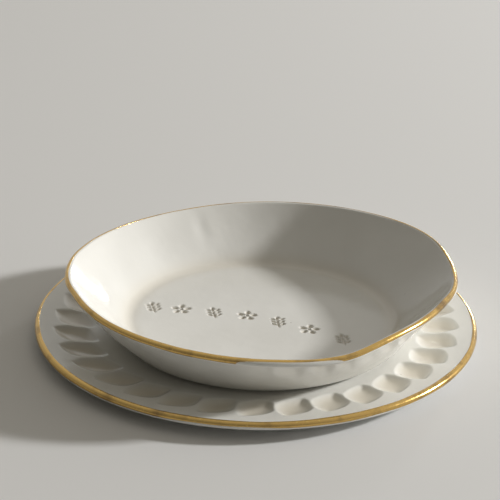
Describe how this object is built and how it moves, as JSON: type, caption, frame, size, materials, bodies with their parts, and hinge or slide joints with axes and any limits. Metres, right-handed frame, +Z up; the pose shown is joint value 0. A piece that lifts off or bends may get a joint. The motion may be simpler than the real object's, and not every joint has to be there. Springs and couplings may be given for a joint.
{
  "type": "ring dish with saucer",
  "caption": "Shallow flared ring dish with a softly wavy rim, standing on a flat round saucer with a ring of pressed petals; glazed porcelain with a gold lip.",
  "frame": {"origin": "centre of the saucer's flat foot, on the surface that the set stands on", "axes": "+Z up out of the dish, +X to the right and +Y to the back of the pictured view"},
  "size_m": [0.1154, 0.1154, 0.0203],
  "materials": {
    "glazed_porcelain": "gloss",
    "gold_lustre": "polished"
  },
  "bodies": {
    "saucer": {"saucer": "glazed_porcelain", "saucer_gold_rim": "gold_lustre"},
    "dish": {"dish": "glazed_porcelain", "dish_gold_rim": "gold_lustre"}
  },
  "joints": [
    {"name": "dish_lift", "type": "slide", "parent": "saucer", "child": "dish", "axis": [0, 0, 1], "range_m": [0, 0.06]}
  ]
}
